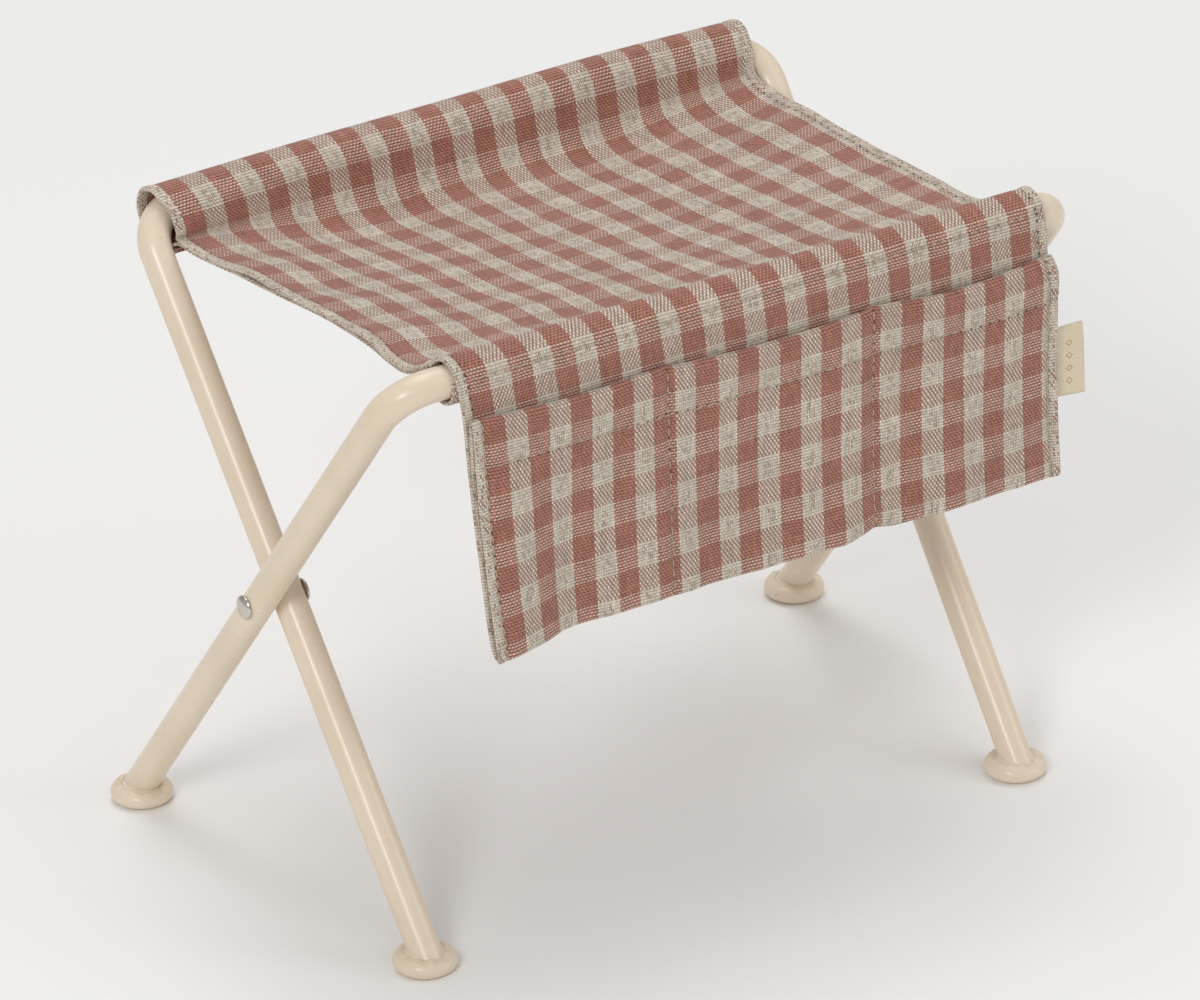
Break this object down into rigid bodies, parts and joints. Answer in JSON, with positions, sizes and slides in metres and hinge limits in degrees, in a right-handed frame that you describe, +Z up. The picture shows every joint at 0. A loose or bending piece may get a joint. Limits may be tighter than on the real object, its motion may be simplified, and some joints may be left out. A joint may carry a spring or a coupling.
{
  "type": "folding doll changing table",
  "caption": "Folding changing table for a doll: bent metal rods crossed like scissors, a cloth sling between the top rails and a hanging flap with pockets.",
  "frame": {"origin": "on the floor, under the middle of the whole table's length and depth", "axes": "+X along the top rails, to the right seen from the pocket side; -Y the pocket side; +Z up"},
  "size_m": [0.157, 0.1027, 0.1188],
  "materials": {
    "powder_coat": "satin cream powder coat",
    "nickel": "bright nickel, slightly dulled",
    "gingham": "yarn-dyed woven check, rose on natural",
    "plain_cloth": "woven, natural",
    "thread": "beige sewing thread",
    "label_tape": "cream woven tape"
  },
  "bodies": {
    "outer_frame": {"outer_rod": "powder_coat", "back_left_foot": "powder_coat", "back_right_foot": "powder_coat", "left_rivet": "nickel", "right_rivet": "nickel", "front_sleeve": "gingham", "front_sleeve_stitching": "thread", "sling_cloth": "gingham", "sling_lining": "plain_cloth"},
    "inner_frame": {"inner_rod": "powder_coat", "front_left_foot": "powder_coat", "front_right_foot": "powder_coat", "rear_sleeve": "gingham", "rear_sleeve_stitching": "thread"},
    "pocket_flap": {"flap_panel": "gingham", "pocket_panel": "gingham", "flap_left_hem": "plain_cloth", "flap_right_hem": "plain_cloth", "side_label": "label_tape", "pocket_hem_stitching": "thread", "left_divider_stitching": "thread", "right_divider_stitching": "thread", "left_hem_stitching": "thread", "right_hem_stitching": "thread"}
  },
  "joints": [
    {"name": "frame_fold", "type": "hinge", "parent": "outer_frame", "child": "inner_frame", "pos_m": [0, 0.0021, 0.05678], "axis": [1, 0, 0], "range_deg": [0, 64], "deforming": ["sling_cloth", "sling_lining"]},
    {"name": "flap_swing", "type": "hinge", "parent": "outer_frame", "child": "pocket_flap", "pos_m": [0, -0.04776, 0.11312], "axis": [-1, 0, 0], "range_deg": [-20, 100]}
  ]
}
